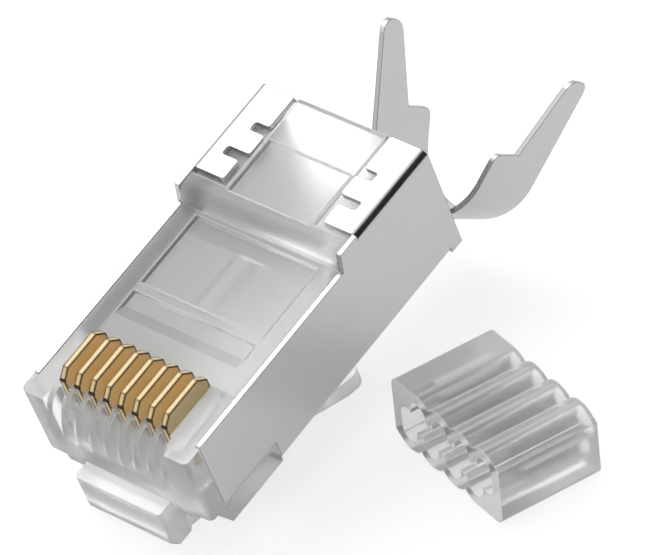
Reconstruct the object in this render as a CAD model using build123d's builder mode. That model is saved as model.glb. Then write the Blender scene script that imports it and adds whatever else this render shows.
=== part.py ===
from build123d import *
import math
import os

# A shielded eight-way modular plug with its load bar, in millimetres.
# The pieces are drawn in the plug's own axes: X across the contacts, Y from the nose to the cable,
# Z up through the contact side, with the nose face at Y = 0 and the underside at Z = 0.
# At the end the plug is laid down the way it rests, on its latch, and the load bar lies beside it.

os.makedirs("parts", exist_ok=True)

# Body sizes
body_width = 11.68
body_length = 22.2
rear_length = 8.1
front_height = 6.45
rear_height = 7.7
step_round = 0.8
largest_round = 0.9
nose_round = 0.35
chin_height = 1.42
chin_depth = 0.5
chin_step = 0.38
chin_step_width = 8.9
skirt_front = 1.25
skirt_rear = 5.75

# Shield sheet and its fit round the body
sheet = 0.3
sheet_fit = 0.02
panel_front = 1.2
panel_low = 1.55
panel_lip = 0.05
panel_round = 0.15
bend_radius = 0.5
flap_setback = 1.7
flap_inner = 3.2
flap_gap = 0.12
flap_front_gap = 0.33
flap_round = 0.17
flap_front_setback = 0.3
flap_rear_setback = 0.15
front_tab = 1.4
notch_spacing = 2.0
front_notch_depth = 1.5
rear_notch_depth = 1.1
notch_width = 0.6
corner_nick = 0.25
plate_setback = 0.9
pad_drop = 0.08

# Tail, bent down at the back, with its cable cradle and two crimp wings
tail_bend = 49.0
tail_bend_radius = 0.3
strap_width = 5.6
strap_length = 3.6
cradle_radius = 3.7
cradle_length = 5.1
wing_splay = 14.0
wing_step_height = 5.0
wing_finger = 4.7
finger_root = 2.95
finger_tip = 1.7
wing_corner = 0.45
finger_round = 0.77

# Contacts
contact_count = 8
contact_pitch = 1.02
contact_thickness = 0.36
contact_front = 1.16
contact_length = 3.66
contact_proud = 1.18
contact_chamfer = 0.58
contact_height = 3.6
contact_tooth = 0.55
tooth_count = 3
contact_stroke = 1.5
slot_fit = 0.03

# Nose comb, wire channels and the windows in the top face
comb_width = 8.6
rib_round = 1.25
groove_width = 0.74
groove_low = 3.45
groove_high = 0.75
groove_bow_depth = 0.3
groove_bow_drop = 2.0
channel_radius = 0.46
channel_height = 2.95
nose_wall = 0.7
window_width = 8.6
window_front = 6.4
window_slope = 0.8
cross_rib_front = 8.15
cross_rib = 0.6
window_margin = 0.3
window_depth = 0.35
pocket_width = 5.8
pocket_setback = 1.25
pocket_length = 3.85
pocket_depth = 0.35

# Load bar and the chamber that it slides into
bar_width = 9.9
bar_height = 4.3
bar_length = 6.5
bar_columns = 4
wire_hole = 1.4
wire_wall = 0.62
mouth_height = 2.2
mouth_depth = 1.9
bar_round = 0.6
bar_chamfer = 0.25
lobe_rise = 0.42
bar_fit = 0.1
chamber_round = 0.2
chamber_front = 5.2
chamber_floor = 0.8
arch_radius = 2.3
arch_rise = 0.35
arch_length = 4.0
bore_height = 6.1
bore_round = 1.5
bore_floor = 0.7
bore_depth = 6.6
funnel_length = 2.6

# Latch, hinged at the nose by a thin neck of the moulding
latch_root_width = 6.0
latch_nose = 1.1
latch_ledge = 1.62
latch_chin = 0.9
latch_base = 1.5
latch_corner = 0.2
latch_ramp = 0.5
hinge_distance = 0.9
hinge_drop = 0.75
knuckle_radius = 0.55
knuckle_fit = 0.06
latch_length = 15.3
latch_drop = 6.05
latch_tip_thickness = 1.04
catch_distance = 7.9
neck_width = 3.4
thumb_width = 5.2
thumb_length = 1.9
thumb_round = 1.2

# Where the load bar lies beside the plug
bar_place = (12.68, 15.02)
bar_turn = -15.8

half_width = body_width / 2
step_distance = body_length - rear_length
flap_front = step_distance + flap_setback
front_notch = flap_front + front_tab
rear_notch = front_notch + notch_spacing
plate_rear = body_length - plate_setback
window_rear = step_distance - window_margin
pocket_front = step_distance + pocket_setback
pocket_rear = pocket_front + pocket_length
thumb_start = latch_length - thumb_length
core_half = half_width - sheet - sheet_fit
core_floor = sheet + sheet_fit
flap_seat = rear_height - core_floor
pad_height = rear_height - pad_drop
inner_bend = bend_radius - sheet
chamber_width = bar_width + 2 * bar_fit
chamber_height = bar_height + 2 * bar_fit
contact_top = front_height + contact_proud
contact_bottom = contact_top - contact_height
slot_floor = contact_bottom - contact_stroke - slot_fit
contact_places = [(number - (contact_count - 1) / 2) * contact_pitch for number in range(contact_count)]


# Housing: one clear moulding
with BuildPart() as housing:
    # The core runs the whole length between the shield's side panels
    with BuildSketch(Plane.YZ) as core_side:
        with BuildLine():
            Polyline(
                (0, chin_height),
                (0, front_height),
                (step_distance, front_height),
                (step_distance, pad_height),
                (body_length, pad_height),
                (body_length, core_floor),
                (skirt_rear, core_floor),
                (skirt_rear, 0),
                (skirt_front, 0),
                (chin_depth, chin_height),
                close=True,
            )
        make_face()
        step_limit = largest_round * (pad_height - front_height)
        step_corner = core_side.vertices().sort_by_distance((step_distance, pad_height))[0]
        fillet(step_corner, min(step_round, step_limit))
    extrude(amount=core_half, both=True)

    # The nose and the skirts under the side panels reach the full width
    with BuildSketch(Plane.YZ):
        with BuildLine():
            Polyline(
                (0, chin_height),
                (0, front_height),
                (panel_front - sheet_fit, front_height),
                (panel_front - sheet_fit, panel_low - sheet_fit),
                (skirt_rear - sheet_fit, panel_low - sheet_fit),
                (skirt_rear - sheet_fit, 0),
                (skirt_front, 0),
                (chin_depth, chin_height),
                close=True,
            )
        make_face()
    extrude(amount=half_width, both=True)
    upright_corners = housing.edges().filter_by(Axis.Z).group_by(Axis.Y)[0]
    fillet(upright_corners, nose_round)

    # The middle of the nose reaches a little lower than its two ends
    with BuildSketch(Plane.YZ):
        with BuildLine():
            Polyline(
                (0, chin_height - chin_step),
                (0, front_height - groove_low),
                (skirt_front, front_height - groove_low),
                (skirt_front, 0),
                (chin_depth, chin_height - chin_step),
                close=True,
            )
        make_face()
    extrude(amount=chin_step_width / 2, both=True)

    # The shoulders that the shield's flaps fold down on
    for side in (-1, 1):
        with BuildSketch(Plane.XY.offset(flap_seat)):
            with Locations((side * (flap_inner - flap_gap), flap_front - flap_front_gap)):
                Rectangle(body_width, body_length, align=(Align.MIN if side > 0 else Align.MAX, Align.MIN))
        extrude(amount=core_floor, mode=Mode.SUBTRACT)

    # The core's long corners follow the inside of the shield's bends
    core_corners = [
        edge
        for edge in housing.edges().filter_by(Axis.Y)
        if abs(abs(edge.center().X) - core_half) < sheet_fit / 2
        and min(abs(edge.center().Z - core_floor), abs(edge.center().Z - flap_seat)) < sheet_fit / 2
    ]
    fillet(core_corners, inner_bend)

    # Cable bore, funnel and load bar chamber, all open to the back
    bore_centre = bore_floor + bore_height / 2
    chamber_centre = chamber_floor + chamber_height / 2
    funnel_rear = body_length - bore_depth
    funnel_front = funnel_rear - funnel_length
    with BuildSketch(Plane.XZ.offset(-body_length)):
        with Locations((0, bore_centre)):
            RectangleRounded(chamber_width, bore_height, bore_round)
    extrude(amount=bore_depth, mode=Mode.SUBTRACT)
    with BuildSketch(Plane.XZ.offset(-funnel_rear)):
        with Locations((0, bore_centre)):
            RectangleRounded(chamber_width, bore_height, bore_round)
    with BuildSketch(Plane.XZ.offset(-funnel_front)):
        with Locations((0, chamber_centre)):
            RectangleRounded(chamber_width, chamber_height, chamber_round)
    loft(mode=Mode.SUBTRACT)
    with BuildSketch(Plane.XZ.offset(-funnel_front)):
        with Locations((0, chamber_centre)):
            RectangleRounded(chamber_width, chamber_height, chamber_round)
    extrude(amount=funnel_front - chamber_front, mode=Mode.SUBTRACT)
    with BuildSketch(Plane.XZ.offset(-funnel_front)):
        with Locations((0, chamber_floor + chamber_height + arch_rise - arch_radius)):
            Circle(arch_radius)
    extrude(amount=arch_length, mode=Mode.SUBTRACT)

    # Wire channels under the contacts, and the slots that the contacts are pressed into
    with BuildSketch(Plane.XZ.offset(-chamber_front)):
        with Locations([(place, channel_height) for place in contact_places]):
            Circle(channel_radius)
    extrude(amount=chamber_front - nose_wall, mode=Mode.SUBTRACT)
    with BuildSketch(Plane.XY.offset(slot_floor)):
        with Locations([(place, contact_front + contact_length / 2) for place in contact_places]):
            Rectangle(contact_thickness + 2 * slot_fit, contact_length + 2 * slot_fit)
    extrude(amount=front_height - slot_floor, mode=Mode.SUBTRACT)

    # The comb in front of the contacts: rounded ribs with curved grooves between the cheeks
    rib_spring = front_height - rib_round
    rib_arc_middle = (rib_round * (1 - math.sqrt(0.5)), rib_spring + rib_round * math.sqrt(0.5))
    with BuildSketch(Plane.YZ):
        with BuildLine():
            ThreePointArc((0, rib_spring), rib_arc_middle, (rib_round, front_height))
            Polyline(
                (rib_round, front_height),
                (rib_round, front_height + rib_round),
                (-rib_round, front_height + rib_round),
                (-rib_round, rib_spring),
                (0, rib_spring),
            )
        make_face()
    extrude(amount=comb_width / 2, both=True, mode=Mode.SUBTRACT)
    for place in contact_places:
        with BuildSketch(Plane.YZ.offset(place)):
            with BuildLine():
                groove_foot = (0, front_height - groove_low)
                groove_head = (contact_front, front_height - groove_high)
                groove_bow = (groove_bow_depth, front_height - groove_bow_drop)
                ThreePointArc(groove_foot, groove_bow, groove_head)
                Polyline(
                    groove_head,
                    (contact_front, front_height + rib_round),
                    (-rib_round, front_height + rib_round),
                    (-rib_round, front_height - groove_low),
                    groove_foot,
                )
            make_face()
        extrude(amount=groove_width / 2, both=True, mode=Mode.SUBTRACT)

    # Windows pressed into the top face, one each side of the cross rib, and the rear pocket
    with BuildSketch(Plane.YZ):
        with BuildLine():
            Polyline(
                (window_front, front_height),
                (window_front + window_slope, front_height - window_depth),
                (cross_rib_front, front_height - window_depth),
                (cross_rib_front, front_height),
                close=True,
            )
        make_face()
        with Locations(((cross_rib_front + cross_rib + window_rear) / 2, front_height)):
            Rectangle(window_rear - cross_rib_front - cross_rib, 2 * window_depth)
    extrude(amount=window_width / 2, both=True, mode=Mode.SUBTRACT)
    with BuildSketch(Plane.XY.offset(pad_height - pocket_depth)):
        with Locations((0, (pocket_front + pocket_rear) / 2)):
            Rectangle(pocket_width, pocket_rear - pocket_front)
    extrude(amount=pocket_depth, mode=Mode.SUBTRACT)

    # The latch's root block under the nose, with the round seat of its hinge
    with BuildSketch(Plane.YZ):
        with BuildLine():
            Polyline(
                (chin_depth, latch_ledge),
                (-latch_nose, latch_ledge),
                (-latch_nose, -latch_chin),
                (latch_ramp - latch_nose, -latch_base),
                (hinge_distance - knuckle_radius, -latch_base),
                (hinge_distance, -hinge_drop),
                (hinge_distance, latch_ledge),
                close=True,
            )
        make_face()
    extrude(amount=latch_root_width / 2, both=True)
    block_corners = [
        edge
        for edge in housing.edges().filter_by(Axis.Z)
        if abs(edge.center().Y + latch_nose) < sheet_fit
    ]
    fillet(block_corners, latch_corner)
    with BuildSketch(Plane.YZ):
        with Locations((hinge_distance, -hinge_drop)):
            Circle(knuckle_radius + knuckle_fit)
    extrude(amount=latch_root_width / 2, both=True, mode=Mode.SUBTRACT)


# Latch: the lever of the same moulding, parted at its thin neck so that it can swing
with BuildPart() as latch:
    lever_run = latch_length - hinge_distance
    tip_middle = -latch_drop + latch_tip_thickness / 2
    lever_slope = math.atan2(-hinge_drop - tip_middle, lever_run)
    lean = math.sin(lever_slope)
    rise = math.cos(lever_slope)
    with BuildSketch(Plane.YZ):
        with BuildLine():
            Polyline(
                (hinge_distance + knuckle_radius * lean, -hinge_drop + knuckle_radius * rise),
                (latch_length, -latch_drop + latch_tip_thickness),
                (latch_length, -latch_drop),
                (hinge_distance - knuckle_radius * lean, -hinge_drop - knuckle_radius * rise),
                close=True,
            )
        make_face()
        with Locations((hinge_distance, -hinge_drop)):
            Circle(knuckle_radius)
    extrude(amount=latch_root_width / 2, both=True)
    with BuildSketch() as lever_plan:
        with BuildLine():
            Polyline(
                (0, -latch_nose),
                (latch_root_width / 2, -latch_nose),
                (latch_root_width / 2, catch_distance),
                (neck_width / 2, catch_distance),
                (thumb_width / 2, thumb_start),
                (thumb_width / 2, latch_length),
                (0, latch_length),
            )
            mirror(about=Plane.YZ)
        make_face()
        fillet(lever_plan.vertices().group_by(Axis.Y)[-1], thumb_round)
    extrude(amount=2 * latch_drop, both=True, mode=Mode.INTERSECT)


# Contacts: eight flat blades with piercing teeth, standing proud until they are crimped
def blade_outline():
    rear = contact_front + contact_length
    tooth_width = contact_length / tooth_count
    points = [
        (contact_front, contact_bottom + contact_tooth),
        (contact_front, contact_top - contact_chamfer),
        (contact_front + contact_chamfer, contact_top),
        (rear - contact_chamfer, contact_top),
        (rear, contact_top - contact_chamfer),
        (rear, contact_bottom + contact_tooth),
    ]
    for tooth in range(tooth_count):
        tooth_rear = rear - tooth * tooth_width
        points.append((tooth_rear - tooth_width / 2, contact_bottom))
        if tooth < tooth_count - 1:
            points.append((tooth_rear - tooth_width, contact_bottom + contact_tooth))
    return points


contacts = []
for place in contact_places:
    with BuildPart() as contact:
        with BuildSketch(Plane.YZ.offset(place)):
            with BuildLine():
                Polyline(*blade_outline(), close=True)
            make_face()
        extrude(amount=contact_thickness / 2, both=True)
    contacts.append(contact)


# Shield: one sheet folded round the body, with the tail drawn out of its bottom plate
bend_axis = (plate_rear, -tail_bend_radius)
tail_lean = math.radians(tail_bend)
strap_start = (
    0,
    plate_rear + tail_bend_radius * math.sin(tail_lean),
    -tail_bend_radius + tail_bend_radius * math.cos(tail_lean),
)
tail_direction = Vector(0, math.cos(tail_lean), -math.sin(tail_lean))
cradle_start = Vector(*strap_start) + tail_direction * strap_length
cradle_outer = cradle_radius + sheet
splay = math.radians(wing_splay)
wing_top = wing_step_height + wing_finger


def tail_section(distance):
    """A plane across the tail: its X is the plug's X, its Y points up out of the cradle."""
    origin = Vector(*strap_start) + tail_direction * distance
    return Plane(origin=origin, x_dir=(1, 0, 0), z_dir=-tail_direction)


def cradle_wall(side):
    """Half of the cradle's section, from its lowest point up one splayed wing."""
    run = (wing_top - cradle_outer * (1 - math.sin(splay))) / math.cos(splay)
    outer_foot = (side * cradle_outer * math.cos(splay), cradle_outer * (1 - math.sin(splay)))
    inner_foot = (side * cradle_radius * math.cos(splay), cradle_outer - cradle_radius * math.sin(splay))
    climb = (side * run * math.sin(splay), run * math.cos(splay))
    halfway = math.radians((90 - wing_splay) / 2)
    outer_mid = (side * cradle_outer * math.sin(halfway), cradle_outer - cradle_outer * math.cos(halfway))
    inner_mid = (side * cradle_radius * math.sin(halfway), cradle_outer - cradle_radius * math.cos(halfway))
    outer_top = (outer_foot[0] + climb[0], outer_foot[1] + climb[1])
    inner_top = (inner_foot[0] + climb[0], inner_foot[1] + climb[1])
    with BuildLine() as wall:
        ThreePointArc((0, 0), outer_mid, outer_foot)
        Polyline(outer_foot, outer_top, inner_top, inner_foot)
        ThreePointArc(inner_foot, inner_mid, (0, sheet))
        Line((0, sheet), (0, 0))
    return wall.line


def wing_side(side):
    """One wing seen from the side. The right one is the left one turned end for end."""
    left = [
        (0, -sheet),
        (0, wing_top),
        (finger_tip, wing_top),
        (finger_root, wing_step_height),
        (cradle_length, wing_step_height),
        (cradle_length, -sheet),
    ]
    if side < 0:
        return left
    return [(cradle_length - along, height) for along, height in left]


wings = []
for side in (-1, 1):
    with BuildPart() as wing:
        with BuildSketch(tail_section(strap_length + cradle_length)):
            make_face(cradle_wall(side).edges())
        extrude(amount=cradle_length)
        side_plane = Plane(origin=cradle_start, x_dir=tail_direction, z_dir=(1, 0, 0))
        with BuildSketch(side_plane) as wing_view:
            with BuildLine():
                Polyline(*wing_side(side), close=True)
            make_face()
            tips = wing_view.vertices().group_by(Axis.Y)[-1]
            fillet(tips, finger_round)
            if side < 0:
                outer_corner = (cradle_length, wing_step_height)
            else:
                outer_corner = (0, wing_step_height)
            fillet(wing_view.vertices().sort_by_distance(outer_corner)[0], wing_corner)
        extrude(amount=side * 2 * cradle_outer, mode=Mode.INTERSECT)
    wings.append(wing)


def bent_sheet():
    """The section of the folded sheet round the body, with its rounded bends."""
    with Locations((0, rear_height / 2)):
        RectangleRounded(body_width, rear_height, bend_radius)
        RectangleRounded(body_width - 2 * sheet, rear_height - 2 * sheet, inner_bend, mode=Mode.SUBTRACT)


# The shield's top flaps, notched along their inner edges
with BuildPart() as flaps:
    with BuildSketch(Plane.XZ.offset(-flap_front)):
        bent_sheet()
        with Locations((0, rear_height)):
            Rectangle(body_width, 2 * bend_radius, mode=Mode.INTERSECT)
    extrude(amount=flap_front - body_length)
    with BuildSketch(Plane.XY.offset(rear_height)):
        with Locations((0, flap_front)):
            Rectangle(2 * flap_inner, body_length, align=(Align.CENTER, Align.MIN))
            front_opening = 2 * (flap_inner + flap_front_setback)
            Rectangle(front_opening, front_notch - flap_front, align=(Align.CENTER, Align.MIN))
        with Locations((0, front_notch)):
            Rectangle(2 * (flap_inner + front_notch_depth), notch_width, align=(Align.CENTER, Align.MIN))
        with Locations((0, rear_notch)):
            Rectangle(2 * (flap_inner + rear_notch_depth), notch_width, align=(Align.CENTER, Align.MIN))
            rear_opening = 2 * (flap_inner + flap_rear_setback)
            Rectangle(rear_opening, body_length, align=(Align.CENTER, Align.MIN))
    extrude(amount=-bend_radius, mode=Mode.SUBTRACT)
    deepest_notch = flap_inner + front_notch_depth
    flap_corners = [
        edge
        for edge in flaps.edges().filter_by(Axis.Z)
        if abs(edge.center().X) < deepest_notch + sheet_fit
    ]
    fillet(flap_corners, flap_round)

# The strap's section where it meets the cradle
strap_turn = math.asin(strap_width / 2 / cradle_outer)
strap_outer_corner = (strap_width / 2, cradle_outer * (1 - math.cos(strap_turn)))
strap_inner_corner = (cradle_radius * math.sin(strap_turn), cradle_outer - cradle_radius * math.cos(strap_turn))

# The whole shield
with BuildPart() as shield:
    # Side panels, the same on both sides, with a lip that stands a little above the front of the body
    for side in (-1, 1):
        with BuildSketch(Plane.YZ.offset(side * half_width)) as panel_view:
            with BuildLine():
                Polyline(
                    (panel_front, panel_low),
                    (panel_front, front_height + panel_lip),
                    (step_distance, front_height + panel_lip),
                    (step_distance + corner_nick, rear_height),
                    (flap_front, rear_height),
                    (flap_front, rear_height - bend_radius),
                    (body_length, rear_height - bend_radius),
                    (body_length, 0),
                    (plate_rear, 0),
                    (plate_rear, bend_radius),
                    (skirt_rear, bend_radius),
                    (skirt_rear, panel_low),
                    close=True,
                )
            make_face()
            front_corners = panel_view.vertices().group_by(Axis.X)[0]
            fillet(front_corners, panel_round)
        extrude(amount=-side * sheet)

    # Bottom plate with its two bends
    with BuildSketch(Plane.XZ.offset(-skirt_rear)):
        bent_sheet()
        Rectangle(body_width, 2 * bend_radius, mode=Mode.INTERSECT)
    extrude(amount=skirt_rear - plate_rear)

    # Top flaps, folded over the back half
    add(flaps.part)

    # The tail's bend, the strap that curls up into the cradle, and the wings
    with BuildSketch(Plane.XZ.offset(-plate_rear)):
        with Locations((0, sheet / 2)):
            Rectangle(strap_width, sheet)
    revolve(axis=Axis((0, *bend_axis), (1, 0, 0)), revolution_arc=-tail_bend)
    with BuildSketch(tail_section(0)):
        with Locations((0, sheet / 2)):
            Rectangle(strap_width, sheet)
    with BuildSketch(tail_section(strap_length)):
        with BuildLine():
            ThreePointArc((-strap_outer_corner[0], strap_outer_corner[1]), (0, 0), strap_outer_corner)
            Line(strap_outer_corner, strap_inner_corner)
            ThreePointArc(strap_inner_corner, (0, sheet), (-strap_inner_corner[0], strap_inner_corner[1]))
            Line((-strap_inner_corner[0], strap_inner_corner[1]), (-strap_outer_corner[0], strap_outer_corner[1]))
        make_face()
    loft()
    for wing in wings:
        add(wing.part)


# Load bar: two rows of wire channels, four over four, set off by one contact pitch
with BuildPart() as load_bar:
    bar_pitch = 2 * contact_pitch
    lobe_radius = (contact_pitch**2 + lobe_rise**2) / (2 * lobe_rise)
    first_column = contact_pitch / 2 - (bar_columns - 1) / 2 * bar_pitch
    upper_row = [first_column + number * bar_pitch for number in range(bar_columns)]
    lower_row = [-place for place in upper_row]
    upper_line = bar_height - wire_wall - wire_hole / 2
    lower_line = wire_wall + wire_hole / 2
    with BuildSketch(Plane.XZ) as bar_section:
        with Locations((0, bar_height / 2)):
            Rectangle(bar_width, bar_height - 2 * lobe_rise)
        with Locations([(place, bar_height - lobe_radius) for place in upper_row]):
            Circle(lobe_radius)
        with Locations([(place, lobe_radius) for place in lower_row]):
            Circle(lobe_radius)
        # A shoulder at each end, beside the first hump above and the last one below
        with Locations((-bar_width / 2, bar_height)):
            Rectangle(bar_width / 2 + upper_row[0], bar_height / 2, align=(Align.MIN, Align.MAX))
        with Locations((bar_width / 2, 0)):
            Rectangle(bar_width / 2 + upper_row[0], bar_height / 2, align=(Align.MAX, Align.MIN))
        with Locations((0, bar_height / 2)):
            Rectangle(bar_width, bar_height, mode=Mode.INTERSECT)
        for corner in ((-bar_width / 2, bar_height), (bar_width / 2, 0)):
            fillet(bar_section.vertices().sort_by_distance(corner)[0], bar_round)
        for corner in ((-bar_width / 2, lobe_rise), (bar_width / 2, bar_height - lobe_rise)):
            chamfer(bar_section.vertices().sort_by_distance(corner)[0], bar_chamfer)
        with Locations([(place, upper_line) for place in upper_row]):
            Circle(wire_hole / 2, mode=Mode.SUBTRACT)
        with Locations([(place, lower_line) for place in lower_row]):
            Circle(wire_hole / 2, mode=Mode.SUBTRACT)
    extrude(amount=bar_length / 2, both=True)

    # At the front the channels reach towards each other and make one wavy mouth
    with BuildSketch(Plane.XZ.offset(bar_length / 2)):
        with Locations([(place, bar_height - wire_wall - mouth_height / 2) for place in upper_row]):
            SlotOverall(mouth_height, wire_hole, rotation=90)
        with Locations([(place, wire_wall + mouth_height / 2) for place in lower_row]):
            SlotOverall(mouth_height, wire_hole, rotation=90)
    extrude(amount=-mouth_depth, mode=Mode.SUBTRACT)


# The plug lies on its latch with the nose down, the lowest points on the ground
nose_edge = (latch_ramp - latch_nose, -latch_base)
tip_edge = (latch_length, -latch_drop)
rest_angle = math.atan2(nose_edge[1] - tip_edge[1], tip_edge[0] - nose_edge[0])
rest_height = -(nose_edge[0] * math.sin(rest_angle) + nose_edge[1] * math.cos(rest_angle))
resting = Location((0, 0, rest_height), (math.degrees(rest_angle), 0, 0))
beside = Location((bar_place[0], bar_place[1], 0), (0, 0, bar_turn))

pieces = {"housing": housing, "latch": latch, "shield": shield}
for number, contact in enumerate(contacts, start=1):
    pieces[f"contact_{number}"] = contact
for piece in pieces.values():
    piece.part = piece.part.moved(resting)
load_bar.part = load_bar.part.moved(beside)
pieces["load_bar"] = load_bar

# The origin is on the ground, under the middle of everything
everything = Compound([solid for piece in pieces.values() for solid in piece.part.solids()]).bounding_box()
middle = Location((-everything.center().X, -everything.center().Y, 0))
for name, piece in pieces.items():
    piece.part = piece.part.moved(middle)
    piece.part.label = name
    export_step(piece.part, f"parts/{name}.step")

print("rest angle in degrees", round(math.degrees(rest_angle), 4))
print("the plug's nose in the frame", round(middle.position.X, 4), round(middle.position.Y, 4), round(rest_height, 4))
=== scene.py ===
import math

import bpy
from mathutils import Matrix, Vector


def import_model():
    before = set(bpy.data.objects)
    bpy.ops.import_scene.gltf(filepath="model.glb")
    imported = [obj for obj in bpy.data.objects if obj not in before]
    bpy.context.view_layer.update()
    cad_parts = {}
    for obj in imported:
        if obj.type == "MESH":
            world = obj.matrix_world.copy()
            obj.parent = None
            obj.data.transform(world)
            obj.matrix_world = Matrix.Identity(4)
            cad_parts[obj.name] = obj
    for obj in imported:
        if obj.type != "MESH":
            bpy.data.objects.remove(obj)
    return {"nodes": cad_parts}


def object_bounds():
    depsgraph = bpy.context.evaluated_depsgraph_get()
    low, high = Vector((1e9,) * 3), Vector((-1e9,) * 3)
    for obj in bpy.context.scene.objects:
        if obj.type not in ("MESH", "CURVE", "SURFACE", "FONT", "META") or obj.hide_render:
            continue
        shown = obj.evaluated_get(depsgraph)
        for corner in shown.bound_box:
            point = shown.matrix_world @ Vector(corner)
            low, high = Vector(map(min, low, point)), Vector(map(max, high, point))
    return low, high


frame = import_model()
cad_low, cad_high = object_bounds()
MM = 0.001
WHITE = (1, 1, 1, 1)

# The camera: its place, lens and sensor in millimetres, its axes, and its clipping range in metres
CAMERA_PLACE = (186.66, -200.3, 220.18)
CAMERA_RIGHT = (0.7663, 0.6361, -0.0909)
CAMERA_DOWN = (0.3357, -0.517, -0.7874)
CAMERA_LENS = 348.2
CAMERA_SENSOR = 36.0
CAMERA_RANGE = (0.01, 10.0)

# The sky: its level, the horizon's, and the heights between which one passes into the other
SKY_LEVEL = 1.0
HORIZON_LEVEL = 0.3
HORIZON_TOP = (0.1, 0.45)

# The dark card to the right: its direction, the angles of its soft edge in degrees, and its level
CARD_DIRECTION = (0.8, 0.2, 0.55)
CARD_EDGES = (38, 44)
CARD_LEVEL = 0.02

# The floor: half its side and its gap under the part in metres, its tone and its roughness
FLOOR_HALF = 3.0
FLOOR_GAP = 0.00001
FLOOR_TONE = (0.45, 0.45, 0.45, 1)
FLOOR_ROUGHNESS = 0.7

# What the white floor adds of its own, by the kind of ray that sees it
FLOOR_GLOW = {"Is Camera Ray": 0.69, "Is Glossy Ray": 0.45, "Is Transmission Ray": 0.66}

# How the plug lies in the frame, in metres
NOSE_PLACE = (-0.0062439, -0.0156178, 0.0016072)
PLUG_TILT = math.radians(15.9692)

# The painted shadow, a dark bar across each blade's front edge: its heights and its depths in the plug's
# axes, in metres
SHADOW_BAR_HEIGHTS = (0.00694, 0.00716)
SHADOW_BAR_DEPTHS = (0.00105, 0.0013)

# The part of a noise's range that is spread over a roughness
NOISE_RANGE = (0.3, 0.7)

# The clear plastic: its index, its painted edge highlight's tone and clearness, and the lamps' light
# that it lets through
PLASTIC_IOR = 1.46
PLASTIC_PAINTED_HIGHLIGHT_TONE = (0.95, 0.95, 0.95)
PLASTIC_PAINTED_HIGHLIGHT_CLEARNESS = 0.3
PLASTIC_LIGHT_SHARE = 0.85

# The metals: the colour of their faces, and of the painted shade along their sheared and stamped edges
NICKEL_FACE = (0.64, 0.64, 0.64)
NICKEL_PAINTED_SHADE = (0.25, 0.25, 0.25)
GOLD_FACE = (1.0, 0.76, 0.39)
GOLD_PAINTED_SHADE = (0.05, 0.02, 0.006)
GOLD_METALLIC = 0.1


def new_material(name):
    """An empty node material with a Principled shader on its output."""
    material = bpy.data.materials.new(name)
    material.use_nodes = True
    nodes = material.node_tree.nodes
    nodes.clear()
    out = nodes.new("ShaderNodeOutputMaterial")
    shader = nodes.new("ShaderNodeBsdfPrincipled")
    material.node_tree.links.new(shader.outputs["BSDF"], out.inputs["Surface"])
    return material, shader


def noise(material, scale, detail, stretch=(1, 1, 1)):
    """A noise over the surface, stretched along the axes of the object."""
    nodes, links = material.node_tree.nodes, material.node_tree.links
    place = nodes.new("ShaderNodeTexCoord")
    mapping = nodes.new("ShaderNodeMapping")
    mapping.inputs["Scale"].default_value = stretch
    texture = nodes.new("ShaderNodeTexNoise")
    texture.inputs["Scale"].default_value = scale
    texture.inputs["Detail"].default_value = detail
    links.new(place.outputs["Object"], mapping.inputs["Vector"])
    links.new(mapping.outputs["Vector"], texture.inputs["Vector"])
    return texture.outputs["Fac"]


def spread(material, value, low, high):
    """A number that goes from one level to another as a noise rises."""
    nodes, links = material.node_tree.nodes, material.node_tree.links
    ramp = nodes.new("ShaderNodeMapRange")
    ramp.inputs["From Min"].default_value = NOISE_RANGE[0]
    ramp.inputs["From Max"].default_value = NOISE_RANGE[1]
    ramp.inputs["To Min"].default_value = low
    ramp.inputs["To Max"].default_value = high
    links.new(value, ramp.inputs["Value"])
    return ramp.outputs["Result"]


def level(material, value, low, high):
    """A number that goes from one level to another as a value goes from nought to one."""
    nodes, links = material.node_tree.nodes, material.node_tree.links
    ramp = nodes.new("ShaderNodeMapRange")
    ramp.inputs["To Min"].default_value = low
    ramp.inputs["To Max"].default_value = high
    links.new(value, ramp.inputs["Value"])
    return ramp.outputs["Result"]


def blend(material, value, low, high):
    """A colour that goes from one tone to another as a value goes from nought to one."""
    nodes, links = material.node_tree.nodes, material.node_tree.links
    mix = nodes.new("ShaderNodeMix")
    mix.data_type = "RGBA"
    mix.inputs["A"].default_value = (*low, 1)
    mix.inputs["B"].default_value = (*high, 1)
    links.new(value, mix.inputs["Factor"])
    return mix.outputs["Result"]


def between(material, value, low, high):
    """One where a value lies between two limits, and nought elsewhere."""
    nodes, links = material.node_tree.nodes, material.node_tree.links
    inside = nodes.new("ShaderNodeMath")
    inside.operation = "COMPARE"
    inside.inputs[1].default_value = (low + high) / 2
    inside.inputs[2].default_value = (high - low) / 2
    links.new(value, inside.inputs[0])
    return inside.outputs["Value"]


def joined(owner, operation, first, second):
    """Two values joined by one operation, in a material or in the world."""
    nodes, links = owner.node_tree.nodes, owner.node_tree.links
    node = nodes.new("ShaderNodeMath")
    node.operation = operation
    links.new(first, node.inputs[0])
    links.new(second, node.inputs[1])
    return node.outputs["Value"]


def bump(material, shader, value, strength, distance):
    """Raises the surface by a value, in the shading alone."""
    nodes, links = material.node_tree.nodes, material.node_tree.links
    node = nodes.new("ShaderNodeBump")
    node.inputs["Strength"].default_value = strength
    node.inputs["Distance"].default_value = distance
    links.new(value, node.inputs["Height"])
    links.new(node.outputs["Normal"], shader.inputs["Normal"])
    return node


def rounded_edges(material, bumped, radius):
    """Softens the hard edges a little, in the shading alone."""
    nodes, links = material.node_tree.nodes, material.node_tree.links
    node = nodes.new("ShaderNodeBevel")
    node.samples = 6
    node.inputs["Radius"].default_value = radius
    links.new(node.outputs["Normal"], bumped.inputs["Normal"])


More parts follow.
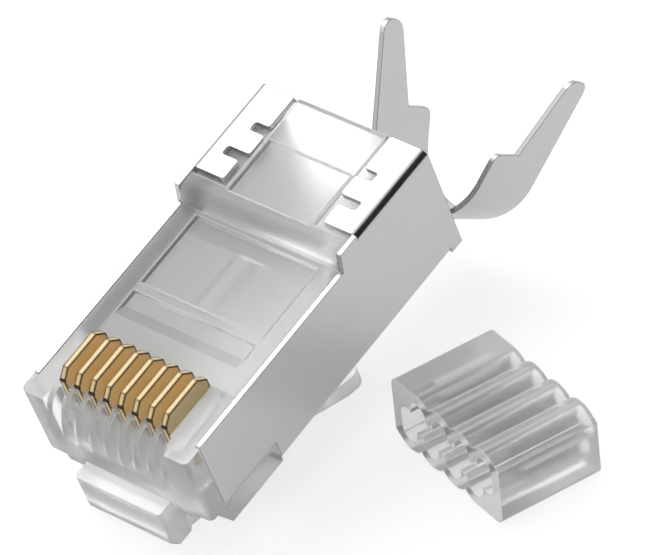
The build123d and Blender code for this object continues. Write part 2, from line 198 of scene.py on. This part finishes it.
def edges(material, radius, sharp=0.93, soft=0.985):
    """One on the edges of the piece, falling to nought within a radius of them."""
    nodes, links = material.node_tree.nodes, material.node_tree.links
    bevel = nodes.new("ShaderNodeBevel")
    bevel.samples = 8
    bevel.inputs["Radius"].default_value = radius
    here = nodes.new("ShaderNodeNewGeometry")
    turned = nodes.new("ShaderNodeVectorMath")
    turned.operation = "DOT_PRODUCT"
    links.new(bevel.outputs["Normal"], turned.inputs[0])
    links.new(here.outputs["Normal"], turned.inputs[1])
    mask = nodes.new("ShaderNodeMapRange")
    mask.inputs["From Min"].default_value = soft
    mask.inputs["From Max"].default_value = sharp
    links.new(turned.outputs["Value"], mask.inputs["Value"])
    return mask.outputs["Result"]


def plug_axes(material):
    """A place in the plug's own axes, in metres: the plug lies with its nose down."""
    nodes, links = material.node_tree.nodes, material.node_tree.links
    place = nodes.new("ShaderNodeTexCoord")
    straight = nodes.new("ShaderNodeMapping")
    straight.vector_type = "TEXTURE"
    straight.inputs["Location"].default_value = NOSE_PLACE
    straight.inputs["Rotation"].default_value = (PLUG_TILT, 0, 0)
    links.new(place.outputs["Object"], straight.inputs["Vector"])
    split = nodes.new("ShaderNodeSeparateXYZ")
    links.new(straight.outputs["Vector"], split.inputs["Vector"])
    return split.outputs


def let_light_in(material, shader, share):
    """Lets the lamps' light reach what lies inside the clear plastic."""
    nodes, links = material.node_tree.nodes, material.node_tree.links
    path = nodes.new("ShaderNodeLightPath")
    links.new(level(material, path.outputs["Is Shadow Ray"], 1.0, 1.0 - share), shader.inputs["Alpha"])


def clear_plastic(name, tone, clearness, roughness, ripple_depth):
    """Clear moulded plastic, a little milky, with soft flow marks and a painted highlight along its
    edges.
    """
    material, shader = new_material(name)
    links = material.node_tree.links
    shader.inputs["IOR"].default_value = PLASTIC_IOR
    # Painted highlight: the edges are made whiter and less clear, as if they caught the light.
    painted_edge_shading = edges(material, radius=0.00012)
    links.new(blend(material, painted_edge_shading, (tone, tone, tone), PLASTIC_PAINTED_HIGHLIGHT_TONE), shader.inputs["Base Color"])
    clear = level(material, painted_edge_shading, clearness, PLASTIC_PAINTED_HIGHLIGHT_CLEARNESS)
    links.new(clear, shader.inputs["Transmission Weight"])
    haze = noise(material, scale=300, detail=3)
    links.new(spread(material, haze, *roughness), shader.inputs["Roughness"])
    ripple = noise(material, scale=450, detail=1, stretch=(1, 0.12, 1))
    bump(material, shader, ripple, strength=0.3, distance=ripple_depth)
    let_light_in(material, shader, PLASTIC_LIGHT_SHARE)
    return material


def nickel():
    """Satin nickel plate with a fine even grain, and thin lines of painted shade along its sheared
    edges.
    """
    material, shader = new_material("nickel")
    links = material.node_tree.links
    # Painted shade: a thin dark line along every edge of the sheet.
    painted_edge_shading = edges(material, radius=0.00007, sharp=0.96, soft=0.99)
    links.new(blend(material, painted_edge_shading, NICKEL_FACE, NICKEL_PAINTED_SHADE), shader.inputs["Base Color"])
    shader.inputs["Metallic"].default_value = 1.0
    grain = noise(material, scale=1100, detail=1, stretch=(1, 0.35, 1))
    links.new(spread(material, grain, low=0.21, high=0.27), shader.inputs["Roughness"])
    bumped = bump(material, shader, grain, strength=0.04, distance=0.00001)
    rounded_edges(material, bumped, radius=0.00006)
    return material


def gold():
    """Thin gold plate, with painted shade along the stamped edges and a painted shadow in a bar across
    each front edge.
    """
    material, shader = new_material("gold")
    links = material.node_tree.links
    axes = plug_axes(material)
    # Painted shadow: a dark bar across each blade's front edge, standing in for the shadow in a notch
    # there.
    heights = between(material, axes["Z"], *SHADOW_BAR_HEIGHTS)
    depths = between(material, axes["Y"], *SHADOW_BAR_DEPTHS)
    bar = joined(material, "MULTIPLY", heights, depths)
    # Painted shade: a dark line along every edge between the blade's facets.
    painted_edge_shading = edges(material, radius=0.0002, sharp=0.965, soft=0.992)
    # The painted shade of the edges and the painted shadow of the bar, joined.
    dark = joined(material, "MAXIMUM", painted_edge_shading, bar)
    links.new(blend(material, dark, GOLD_FACE, GOLD_PAINTED_SHADE), shader.inputs["Base Color"])
    shader.inputs["Metallic"].default_value = GOLD_METALLIC
    grain = noise(material, scale=1500, detail=3, stretch=(1, 1, 0.2))
    links.new(spread(material, grain, low=0.34, high=0.44), shader.inputs["Roughness"])
    bump(material, shader, grain, strength=0.1, distance=0.00001)
    return material


def dress(node, material):
    """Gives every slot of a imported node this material."""
    mesh = frame["nodes"][node].data
    if not mesh.materials:
        mesh.materials.append(material)
    for slot in range(len(mesh.materials)):
        mesh.materials[slot] = material


def dress_all():
    """Dresses every node, and keeps the loose load bar out of the shield's reflections."""
    body_plastic = clear_plastic(
        "clear_plastic", tone=0.94, clearness=0.83, roughness=(0.28, 0.32), ripple_depth=0.0002
    )
    bar_plastic = clear_plastic(
        "crisp_plastic", tone=0.66, clearness=0.86, roughness=(0.28, 0.3), ripple_depth=0.00002
    )
    plate = nickel()
    gilt = gold()
    frame["nodes"]["load_bar"].visible_glossy = False
    for name in frame["nodes"]:
        if name == "shield":
            dress(name, plate)
        elif name.startswith("contact_"):
            dress(name, gilt)
        elif name == "load_bar":
            dress(name, bar_plastic)
        else:
            dress(name, body_plastic)


def floor():
    """A pale floor just under the part, with a glow that the camera, gloss and glass see as white."""
    low = min(0.0, cad_low.z) - FLOOR_GAP
    near, far = -FLOOR_HALF, FLOOR_HALF
    corners = [(near, near, low), (far, near, low), (far, far, low), (near, far, low)]
    mesh = bpy.data.meshes.new("floor")
    mesh.from_pydata(corners, [], [(0, 1, 2, 3)])
    piece = bpy.data.objects.new("floor", mesh)
    bpy.context.collection.objects.link(piece)
    material, shader = new_material("floor")
    nodes, links = material.node_tree.nodes, material.node_tree.links
    shader.inputs["Base Color"].default_value = FLOOR_TONE
    shader.inputs["Roughness"].default_value = FLOOR_ROUGHNESS
    path = nodes.new("ShaderNodeLightPath")
    total = None
    for ray, share in FLOOR_GLOW.items():
        glow = nodes.new("ShaderNodeMath")
        glow.operation = "MULTIPLY_ADD"
        glow.inputs[1].default_value = share
        glow.inputs[2].default_value = 0.0
        links.new(path.outputs[ray], glow.inputs[0])
        if total:
            links.new(total, glow.inputs[2])
        total = glow.outputs["Value"]
    links.new(total, shader.inputs["Emission Strength"])
    shader.inputs["Emission Color"].default_value = WHITE
    mesh.materials.append(material)


def world():
    """A white studio with a darker horizon and a dark card to the right. The camera sees plain white."""
    sky = bpy.data.worlds.new("studio")
    bpy.context.scene.world = sky
    sky.use_nodes = True
    nodes, links = sky.node_tree.nodes, sky.node_tree.links
    shade = nodes["Background"]
    shade.inputs["Color"].default_value = WHITE
    place = nodes.new("ShaderNodeTexCoord")
    split = nodes.new("ShaderNodeSeparateXYZ")
    links.new(place.outputs["Generated"], split.inputs["Vector"])
    climb = nodes.new("ShaderNodeMapRange")
    climb.interpolation_type = "SMOOTHSTEP"
    climb.inputs["From Min"].default_value = HORIZON_TOP[0]
    climb.inputs["From Max"].default_value = HORIZON_TOP[1]
    climb.inputs["To Min"].default_value = HORIZON_LEVEL
    climb.inputs["To Max"].default_value = SKY_LEVEL
    links.new(split.outputs["Z"], climb.inputs["Value"])
    toward = nodes.new("ShaderNodeVectorMath")
    toward.operation = "DOT_PRODUCT"
    toward.inputs[1].default_value = Vector(CARD_DIRECTION).normalized()
    links.new(place.outputs["Generated"], toward.inputs[0])
    card = nodes.new("ShaderNodeMapRange")
    card.interpolation_type = "SMOOTHSTEP"
    card.inputs["From Min"].default_value = math.cos(math.radians(CARD_EDGES[1]))
    card.inputs["From Max"].default_value = math.cos(math.radians(CARD_EDGES[0]))
    card.inputs["To Min"].default_value = 1.0
    card.inputs["To Max"].default_value = CARD_LEVEL
    links.new(toward.outputs["Value"], card.inputs["Value"])
    tone = joined(sky, "MULTIPLY", climb.outputs["Result"], card.outputs["Result"])
    path = nodes.new("ShaderNodeLightPath")
    backdrop = nodes.new("ShaderNodeMix")
    backdrop.inputs["B"].default_value = 1.0
    links.new(path.outputs["Is Camera Ray"], backdrop.inputs["Factor"])
    links.new(tone, backdrop.inputs["A"])
    links.new(backdrop.outputs["Result"], shade.inputs["Strength"])


def softbox(name, place, aim, size, power):
    """A soft rectangular lamp, with its place, its aim and its size in millimetres."""
    light = bpy.data.lights.new(name, "AREA")
    light.shape = "RECTANGLE"
    light.size = size[0] * MM
    light.size_y = size[1] * MM
    light.energy = power
    lamp = bpy.data.objects.new(name, light)
    bpy.context.collection.objects.link(lamp)
    lamp.location = Vector(place) * MM
    toward = (Vector(aim) - Vector(place)).normalized()
    lamp.rotation_euler = toward.to_track_quat("-Z", "Y").to_euler()


def camera():
    """The camera, at the photograph's viewing angle."""
    right = Vector(CAMERA_RIGHT).normalized()
    down = Vector(CAMERA_DOWN)
    down = (down - right * down.dot(right)).normalized()
    forward = right.cross(down)
    data = bpy.data.cameras.new("camera")
    data.lens = CAMERA_LENS
    data.sensor_width = CAMERA_SENSOR
    data.clip_start, data.clip_end = CAMERA_RANGE
    piece = bpy.data.objects.new("camera", data)
    bpy.context.collection.objects.link(piece)
    turn = Matrix((right, -down, -forward)).transposed().to_4x4()
    piece.matrix_world = Matrix.Translation(Vector(CAMERA_PLACE) * MM) @ turn
    bpy.context.scene.camera = piece


dress_all()
floor()
world()
softbox("overhead", place=(-164, 49, 246), aim=(0, 0, 10), size=(190, 190), power=0.19)
camera()
bpy.context.scene.view_settings.view_transform = "Standard"
